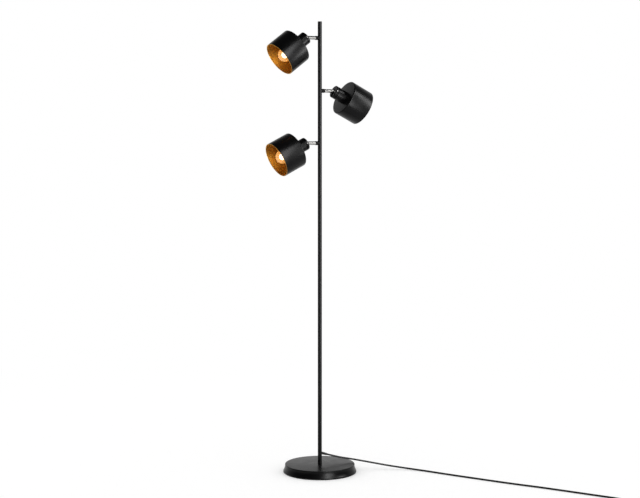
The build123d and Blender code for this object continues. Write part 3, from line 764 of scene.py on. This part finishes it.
def make_bulb_core(key, place):
    """The hot core that shows through the opal glass."""
    radius = bpy.context.scene.lamp_sizes.globe_radius
    centre = SHADE_BACK + GLOBE_FROM_BACK
    core = bmesh.new()
    bmesh.ops.create_uvsphere(
        core,
        u_segments=CORE_STEPS,
        v_segments=CORE_STEPS // 2,
        radius=radius * CORE_SHARE,
    )
    bmesh.ops.translate(core, vec=(0, 0, centre), verts=core.verts)
    glow = [shared("bulb_glow", bulb_glow)]
    make_piece(f"bulb_core_{key}", core, f"head_{key}", glow, place)


def make_screw_cap(key, place):
    """The bulb's rolled screw cap with its contact at the tip."""
    foot, tip = SHADE_BACK + CAP_START, SHADE_BACK + TIP_START
    corners = [
        (0, tip, 0),
        (TIP_RADIUS, tip, TIP_ROUNDING),
        (CAP_RADIUS - CAP_TAPER, foot, 0),
    ]
    turn_count = int((CAP_HEIGHT - THREAD_PITCH) / THREAD_PITCH)
    for turn in range(turn_count):
        low = foot + THREAD_START + turn * THREAD_PITCH
        corners.append((CAP_RADIUS, low, THREAD_ROUNDING))
        corners.append((CAP_RADIUS - THREAD_DEPTH, low + THREAD_PITCH / 2, THREAD_ROUNDING))
    corners += [
        (CAP_RADIUS, CAP_SEAT - CAP_COLLAR, CAP_COLLAR_ROUNDING),
        (CAP_RADIUS, CAP_SEAT, CAP_EDGE),
        (CAP_BORE, CAP_SEAT, 0),
        (CAP_BORE, CAP_SEAT - GLASS_SEAT, 0),
        (0, CAP_SEAT - GLASS_SEAT, 0),
    ]
    make_piece(
        f"screw_cap_{key}",
        turned(corners, SMALL_TURN_STEPS),
        f"head_{key}",
        [finish_of("lamp_cap_metal")],
        place,
        [f"bulb_cap_{key}"],
    )


class LAMP_OT_heads(bpy.types.Operator):
    """Makes the necks, shades and bulbs, and finishes the rest of each head"""

    bl_idname = "lamp.heads"
    bl_label = "Heads"

    def execute(self, context):
        for key in HEADS:
            place = head_place(key)
            make_sleeve(key, place)
            make_shade(key, place)
            make_bulb_glass(key, place)
            make_bulb_core(key, place)
            make_screw_cap(key, place)
            for name in ("swivel_cap", "lamp_holder", "holder_contacts", "holder_ring"):
                finish_node(f"{name}_{key}")
            finish_node(f"pivot_pin_{key}", shared("bright_plate", bright_plate))
        return {"FINISHED"}


# ---------------------------------------------------------------- foot switch and plug
FLOOR_GAP = 0.1 * MM
SWITCH_CENTRE = Vector((509.6 * MM, -837 * MM, FLOOR_GAP))
SWITCH_HEADING = math.radians(152)
SWITCH_LENGTH = 86 * MM
SWITCH_ENTRY_HEIGHT = 8.5 * MM
SWITCH_DIP_HEIGHT = 4.6 * MM  # the lead passes below the pressed button
SWITCH_DIP = 20 * MM          # the dip reaches this far either side of the button
SWITCH_RELIEF = 20 * MM
PLUG_THICKNESS = 14 * MM

SWITCH_NODES = (
    "switch_base",
    "switch_cover",
    "switch_button",
    "switch_contacts",
    "switch_screws",
    "switch_reliefs",
)


def switch_point(along, height):
    """A point in the foot switch's frame, where X runs with the lead towards the plug."""
    turn = Matrix.Rotation(SWITCH_HEADING, 4, "Z")
    return SWITCH_CENTRE + turn @ Vector((along, 0, height))


class LAMP_OT_switch(bpy.types.Operator):
    """Finishes the foot switch on the lead"""

    bl_idname = "lamp.foot_switch"
    bl_label = "Foot switch"

    def execute(self, context):
        for node in SWITCH_NODES:
            finish_node(node)
        return {"FINISHED"}


class LAMP_OT_plug(bpy.types.Operator):
    """Finishes the plug and its pins"""

    bl_idname = "lamp.plug"
    bl_label = "Plug"

    def execute(self, context):
        finish_node("plug_body")
        finish_node("plug_pins", shared("bright_plate", bright_plate))
        return {"FINISHED"}


# ---------------------------------------------------------------- lead
# Control points of the lead from the outlet to the foot switch, in metres.
LEAD_ROUTE = (
    (0.02613, 0.0, 0.05815),
    (0.04047, 0.0, 0.05377),
    (0.057, -0.0032, 0.0486),
    (0.081, -0.0105, 0.0426),
    (0.114, -0.028, 0.037),
    (0.165, -0.051, 0.026),
    (0.228, -0.082, 0.0125),
    (0.284, -0.122, 0.0044),
    (0.321, -0.177, 0.0031),
    (0.356, -0.246, 0.0031),
    (0.393, -0.313, 0.0031),
    (0.433, -0.385, 0.0031),
    (0.475, -0.459, 0.0031),
    (0.521, -0.531, 0.0031),
    (0.563, -0.604, 0.0031),
    (0.605, -0.680, 0.0031),
    (0.649, -0.757, 0.0031),
    (0.669, -0.802, 0.0031),
    (0.661, -0.847, 0.0031),
    (0.626, -0.876, 0.0031),
)
LEAD_STEPS = 8                # between two control points
LEAD_ROUND_STEPS = 4
SWITCH_RUN = 28 * MM
COIL_TURNS = 2                # in each of the two layers
COIL_RADIUS = 40 * MM
COIL_STEP = 7 * MM
COIL_LEAD_IN = 66 * MM
COIL_LEAD_OUT = 48 * MM
SWITCH_DROP = ((12 * MM, 7.6 * MM), (30 * MM, 3.6 * MM))  # past the relief: reach and height
PLUG_RISE = ((0.4, 9.4 * MM), (0.8, 7.3 * MM))            # share of the run to the plug, and height
COIL_POINTS = 18              # for each turn
LEAD_LIE = 3 * MM + FLOOR_GAP  # height of the lead's middle where it lies on the floor
CLIMB_START = 630.0           # degrees of turning, where the lead climbs to the second layer
CLIMB_TURN = 180.0
TIE_TURN = 180.0              # degrees round the coil, where its layers lie on each other
TIE_WIDTH = 5 * MM
TIE_THICKNESS = 0.6 * MM
TIE_ROUNDING = 2.8 * MM
TIE_SLACK = 0.1 * MM


def heading_vector(heading):
    """A level direction, one metre long."""
    return Matrix.Rotation(heading, 4, "Z") @ Vector((1, 0, 0))


def coil_centre():
    """The middle of the put-away coil, on the floor."""
    start = switch_point(SWITCH_LENGTH / 2 + COIL_LEAD_IN, 0)
    return start + heading_vector(SWITCH_HEADING + math.pi / 2) * COIL_RADIUS


def coil_points():
    """Control points of the put-away coil: it spirals in, climbs a layer and spirals out."""
    whole = 360.0 * COIL_TURNS
    step = 360.0 / COIL_POINTS
    spare = 1 / math.cos(math.radians(step / 2))
    centre = coil_centre()
    points = []
    for index in range(int(2 * whole / step) + 1):
        angle = index * step
        turned_in = min(angle, 2 * whole - angle)
        radius = (COIL_RADIUS - COIL_STEP * turned_in / 360) * spare
        heading = SWITCH_HEADING - math.pi / 2 + math.radians(angle)
        climb = min(max((angle - CLIMB_START) / CLIMB_TURN, 0.0), 1.0)
        height = LEAD_LIE + COIL_STEP * climb * climb * (3 - 2 * climb)
        across, along = math.cos(heading) * radius, math.sin(heading) * radius
        points.append(Vector((centre.x + across, centre.y + along, height)))
    return points


def lead_points():
    """All control points of the lead, from the outlet through the switch to the plug."""
    half = SWITCH_LENGTH / 2
    relief_tip = half + SWITCH_RELIEF
    entry = SWITCH_ENTRY_HEIGHT
    points = [Vector(point) for point in LEAD_ROUTE]
    points += [switch_point(-relief_tip - SWITCH_RUN, entry), switch_point(-relief_tip, entry)]
    points += [switch_point(-half, entry)]
    points += [switch_point(reach, SWITCH_DIP_HEIGHT) for reach in (-SWITCH_DIP, SWITCH_DIP)]
    points += [switch_point(reach, entry) for reach in (half, relief_tip)]
    points += [switch_point(relief_tip + reach, height) for reach, height in SWITCH_DROP]
    points += coil_points()
    end = switch_point(half + COIL_LEAD_IN, 0)
    onward = heading_vector(SWITCH_HEADING)
    plug_height = Vector((0, 0, PLUG_THICKNESS / 2))
    for reach, height in PLUG_RISE:
        points.append(end + onward * COIL_LEAD_OUT * reach + Vector((0, 0, height)))
    points.append(end + onward * COIL_LEAD_OUT + plug_height)
    return points


def tie_outline(half_width, low, high, rounding):
    """A rounded rectangle round the coil's turns, as (outwards, height) from their middle."""
    outline = []
    for quarter, (side, height) in enumerate(((1, high), (-1, high), (-1, low), (1, low))):
        inset = -rounding if height == high else rounding
        corner = Vector((side * (half_width - rounding), height + inset))
        for step in range(ROUNDING_STEPS + 1):
            angle = math.pi / 2 * (quarter + step / ROUNDING_STEPS)
            outline.append(corner + rounding * Vector((math.cos(angle), math.sin(angle))))
    return outline


def make_coil_tie(lead_diameter):
    """A flat tie that holds the put-away coil's turns together."""
    middle = COIL_RADIUS - COIL_STEP * (TIE_TURN / 360 + 0.5)
    half_width = (COIL_STEP + lead_diameter) / 2 + TIE_SLACK
    top = LEAD_LIE + COIL_STEP + lead_diameter / 2 + TIE_SLACK
    inner = tie_outline(half_width, TIE_THICKNESS + TIE_SLACK, top, TIE_ROUNDING)
    outer = tie_outline(
        half_width + TIE_THICKNESS,
        TIE_SLACK,
        top + TIE_THICKNESS,
        TIE_ROUNDING + TIE_THICKNESS,
    )
    bm = bmesh.new()
    rings = []
    for outline, across in ((inner, -1), (outer, -1), (outer, 1), (inner, 1)):
        shift = across * TIE_WIDTH / 2
        rings.append([bm.verts.new((middle + out, shift, height)) for out, height in outline])
    for ring, following in zip(rings, rings[1:] + rings[:1]):
        for index in range(len(ring)):
            onward = (index + 1) % len(ring)
            bm.faces.new((ring[index], ring[onward], following[onward], following[index]))
    bmesh.ops.recalc_face_normals(bm, faces=bm.faces)
    heading = SWITCH_HEADING - math.pi / 2 + math.radians(TIE_TURN)
    place = Matrix.Translation(coil_centre()) @ Matrix.Rotation(heading, 4, "Z")
    make_piece("coil_tie", bm, "stand", [finish_of("black_plastic")], place)


class LAMP_OT_lead(bpy.types.Operator):
    """Lays the lead from the outlet to the plug as one smooth curve"""

    bl_idname = "lamp.lead"
    bl_label = "Lead"

    def execute(self, context):
        diameter = context.scene.lamp_sizes.lead_diameter
        curve = bpy.data.curves.new("lead", "CURVE")
        curve.dimensions = "3D"
        curve.resolution_u = LEAD_STEPS
        curve.bevel_depth = diameter / 2
        curve.bevel_resolution = LEAD_ROUND_STEPS
        curve.use_fill_caps = True
        spline = curve.splines.new("NURBS")
        points = lead_points()
        spline.points.add(len(points) - 1)
        for control, point in zip(spline.points, points):
            control.co = (*point, 1.0)
        spline.order_u = 3
        spline.use_endpoint_u = True
        curve.materials.append(finish_of("cord_sheath"))
        lead = bpy.data.objects.new("lead", curve)
        context.scene.collection.objects.link(lead)
        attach(lead, "stand")
        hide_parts("power_cord", "cord_coil")
        make_coil_tie(diameter)
        finish_node("cord_outlet")
        return {"FINISHED"}


# ---------------------------------------------------------------- studio
CAMERA_PLACE = (-2.1623, -4.0680, 1.105)
CAMERA_AZIMUTH = math.radians(-28)
CAMERA_PITCH = math.radians(4.24)
CAMERA_LENS = 76.9
SENSOR_WIDTH = 36.0
FLOOR_SIZE = 60.0
FLOOR_COLOUR = 0.85
FLOOR_LIFT = 0.2
FADE_START = 0.9
FADE_END = 2.6
FRONT_LEVEL = 0.03            # what gloss sees behind the camera
BACK_LEVEL = 0.9              # and behind the lamp
BACK_BAND = (-0.1, 0.75)      # from front to back, along the camera's view
OVERHEAD_LEVEL = 0.15         # what is left of both overhead, for gloss
OVERHEAD_BAND = (0.35, 0.8)   # by height above the horizon
CAMERA_REACH = 200.0
# Soft boxes: degrees to the camera's right, distance, height, size and share of the key's power
SOFT_BOXES = {
    "key": (28, 1.6, 1.3, (0.6, 2.6), 1.0),
    "side": (78, 1.7, 1.65, (0.5, 1.7), 0.6),
    "glint": (57, 1.9, 1.4, (0.5, 0.5), 0.03),
}


def combine(nodes, links, operation, first, second):
    """A maths node fed by two sockets, or by a socket and a number."""
    maths = nodes.new("ShaderNodeMath")
    maths.operation = operation
    links.new(first, maths.inputs[0])
    if isinstance(second, float):
        maths.inputs[1].default_value = second
    else:
        links.new(second, maths.inputs[1])
    return maths.outputs[0]


def smooth_band(nodes, links, value, span, levels):
    """A smooth change between two levels over a span of a value."""
    band = nodes.new("ShaderNodeMapRange")
    band.interpolation_type = "SMOOTHSTEP"
    band.inputs["From Min"].default_value, band.inputs["From Max"].default_value = span
    band.inputs["To Min"].default_value, band.inputs["To Max"].default_value = levels
    links.new(value, band.inputs["Value"])
    return band.outputs["Result"]


def blend(nodes, links, share, first, second):
    """One level where the share is 0 and another where it is 1: sockets or numbers."""
    mix = nodes.new("ShaderNodeMix")
    mix.data_type = "FLOAT"
    links.new(share, mix.inputs["Factor"])
    for value, socket in ((first, mix.inputs["A"]), (second, mix.inputs["B"])):
        if isinstance(value, float):
            socket.default_value = value
        else:
            links.new(value, socket)
    return mix.outputs["Result"]


def floor_material():
    """Matt and pale round the lamp, and white far out for rays that show it."""
    material = bpy.data.materials.new("floor")
    material.use_nodes = True
    nodes, links = material.node_tree.nodes, material.node_tree.links
    nodes.clear()
    matt = nodes.new("ShaderNodeBsdfDiffuse")
    matt.inputs["Color"].default_value = (FLOOR_COLOUR,) * 3 + (1.0,)
    path = nodes.new("ShaderNodeLightPath")
    seen = combine(nodes, links, "MAXIMUM", path.outputs["Is Camera Ray"], path.outputs["Is Glossy Ray"])
    shown = combine(nodes, links, "MAXIMUM", seen, path.outputs["Is Transmission Ray"])
    lift = nodes.new("ShaderNodeEmission")
    links.new(combine(nodes, links, "MULTIPLY", shown, FLOOR_LIFT), lift.inputs["Strength"])
    near = nodes.new("ShaderNodeAddShader")
    links.new(matt.outputs[0], near.inputs[0])
    links.new(lift.outputs[0], near.inputs[1])
    place = nodes.new("ShaderNodeTexCoord")
    distance = nodes.new("ShaderNodeVectorMath")
    distance.operation = "LENGTH"
    links.new(place.outputs["Object"], distance.inputs[0])
    fade = smooth_band(nodes, links, distance.outputs["Value"], (FADE_START, FADE_END), (0.0, 1.0))
    white = nodes.new("ShaderNodeEmission")
    mix = nodes.new("ShaderNodeMixShader")
    links.new(combine(nodes, links, "MULTIPLY", fade, shown), mix.inputs[0])
    links.new(near.outputs[0], mix.inputs[1])
    links.new(white.outputs[0], mix.inputs[2])
    output = nodes.new("ShaderNodeOutputMaterial")
    links.new(mix.outputs[0], output.inputs["Surface"])
    return material


def add_floor():
    """A pale floor that keeps the lamp's shadow and runs out to white."""
    bm = bmesh.new()
    bmesh.ops.create_grid(bm, x_segments=1, y_segments=1, size=FLOOR_SIZE / 2)
    mesh = bpy.data.meshes.new("floor")
    bm.to_mesh(mesh)
    bm.free()
    mesh.materials.append(floor_material())
    floor = bpy.data.objects.new("floor", mesh)
    bpy.context.scene.collection.objects.link(floor)


def add_world(room_level):
    """White for the camera, plain light on the lamp, and for gloss a bright back and dim front."""
    world = bpy.data.worlds.new("studio")
    bpy.context.scene.world = world
    world.use_nodes = True
    nodes, links = world.node_tree.nodes, world.node_tree.links
    nodes.clear()
    path = nodes.new("ShaderNodeLightPath")
    place = nodes.new("ShaderNodeTexCoord").outputs["Generated"]
    facing = nodes.new("ShaderNodeVectorMath")
    facing.operation = "DOT_PRODUCT"
    facing.inputs[1].default_value = (-math.sin(CAMERA_AZIMUTH), math.cos(CAMERA_AZIMUTH), 0.0)
    links.new(place, facing.inputs[0])
    split = nodes.new("ShaderNodeSeparateXYZ")
    links.new(place, split.inputs["Vector"])
    back_levels = (FRONT_LEVEL, BACK_LEVEL)
    backdrop = smooth_band(nodes, links, facing.outputs["Value"], BACK_BAND, back_levels)
    overhead = smooth_band(nodes, links, split.outputs["Z"], OVERHEAD_BAND, (1.0, OVERHEAD_LEVEL))
    sweep = combine(nodes, links, "MULTIPLY", backdrop, overhead)
    glossy, transmitted = path.outputs["Is Glossy Ray"], path.outputs["Is Transmission Ray"]
    mirrored = combine(nodes, links, "MAXIMUM", glossy, transmitted)
    plain = blend(nodes, links, mirrored, room_level, sweep)
    background = nodes.new("ShaderNodeBackground")
    background.inputs["Color"].default_value = (1.0, 1.0, 1.0, 1.0)
    level = blend(nodes, links, path.outputs["Is Camera Ray"], plain, 1.0)
    links.new(level, background.inputs["Strength"])
    output = nodes.new("ShaderNodeOutputWorld")
    links.new(background.outputs[0], output.inputs["Surface"])
    world.cycles.sampling_method = "NONE"


def add_soft_box(name, azimuth, distance, height, size, power):
    """A soft box that only gloss shows: degrees to the camera's right, its middle's height."""
    light = bpy.data.lights.new(name, "AREA")
    light.shape = "RECTANGLE"
    light.size, light.size_y = size
    light.energy = power
    bearing = -CAMERA_AZIMUTH - math.radians(azimuth)
    toward = Vector((-math.sin(bearing), -math.cos(bearing), 0))
    box = bpy.data.objects.new(name, light)
    box.location = toward * distance + Vector((0, 0, height))
    box.rotation_euler = (-toward).to_track_quat("-Z", "Y").to_euler()
    box.visible_diffuse = False
    box.visible_camera = False
    bpy.context.scene.collection.objects.link(box)


def add_camera():
    """The photograph's fitted viewpoint."""
    camera = bpy.data.cameras.new("camera")
    camera.lens = CAMERA_LENS
    camera.sensor_width = SENSOR_WIDTH
    camera.clip_end = CAMERA_REACH
    holder = bpy.data.objects.new("camera", camera)
    holder.location = CAMERA_PLACE
    holder.rotation_euler = (math.pi / 2 - CAMERA_PITCH, 0, CAMERA_AZIMUTH)
    bpy.context.scene.collection.objects.link(holder)
    bpy.context.scene.camera = holder


class LAMP_OT_studio(bpy.types.Operator):
    """Sets up the floor, the soft light and the camera"""

    bl_idname = "lamp.studio"
    bl_label = "Studio"

    def execute(self, context):
        light = context.scene.lamp_light
        add_floor()
        add_world(light.room_level)
        for name, (azimuth, distance, height, size, share) in SOFT_BOXES.items():
            add_soft_box(name, azimuth, distance, height, size, light.key_power * share)
        add_camera()
        context.scene.view_settings.view_transform = "Standard"
        return {"FINISHED"}


# ---------------------------------------------------------------- panel and registration
STEPS = (
    LAMP_OT_base,
    LAMP_OT_pole,
    LAMP_OT_arms,
    LAMP_OT_heads,
    LAMP_OT_switch,
    LAMP_OT_plug,
    LAMP_OT_lead,
    LAMP_OT_studio,
)


class LAMP_PT_panel(bpy.types.Panel):
    """Lists the steps that build the lamp"""

    bl_label = "Tree Floor Lamp"
    bl_idname = "LAMP_PT_panel"
    bl_space_type = "VIEW_3D"
    bl_region_type = "UI"
    bl_category = "Lamp"

    def draw(self, context):
        for name in GROUPS:
            group = getattr(context.scene, name)
            box = self.layout.box()
            for value in group.__annotations__:
                box.prop(group, value)
        for step in STEPS:
            self.layout.operator(step.bl_idname)


GROUPS = {"lamp_sizes": LampSizes, "lamp_colours": LampColours, "lamp_light": LampLight}


def register():
    for group in (*GROUPS.values(), *STEPS, LAMP_PT_panel):
        bpy.utils.register_class(group)
    for name, group in GROUPS.items():
        setattr(bpy.types.Scene, name, PointerProperty(type=group))


def unregister():
    for name in GROUPS:
        delattr(bpy.types.Scene, name)
    for group in (LAMP_PT_panel, *reversed(STEPS), *GROUPS.values()):
        bpy.utils.unregister_class(group)


def main():
    register()
    bpy.ops.lamp.base()
    bpy.ops.lamp.pole()
    bpy.ops.lamp.arms()
    bpy.ops.lamp.heads()
    bpy.ops.lamp.foot_switch()
    bpy.ops.lamp.plug()
    bpy.ops.lamp.lead()
    bpy.ops.lamp.studio()


if __name__ == "__main__":
    main()
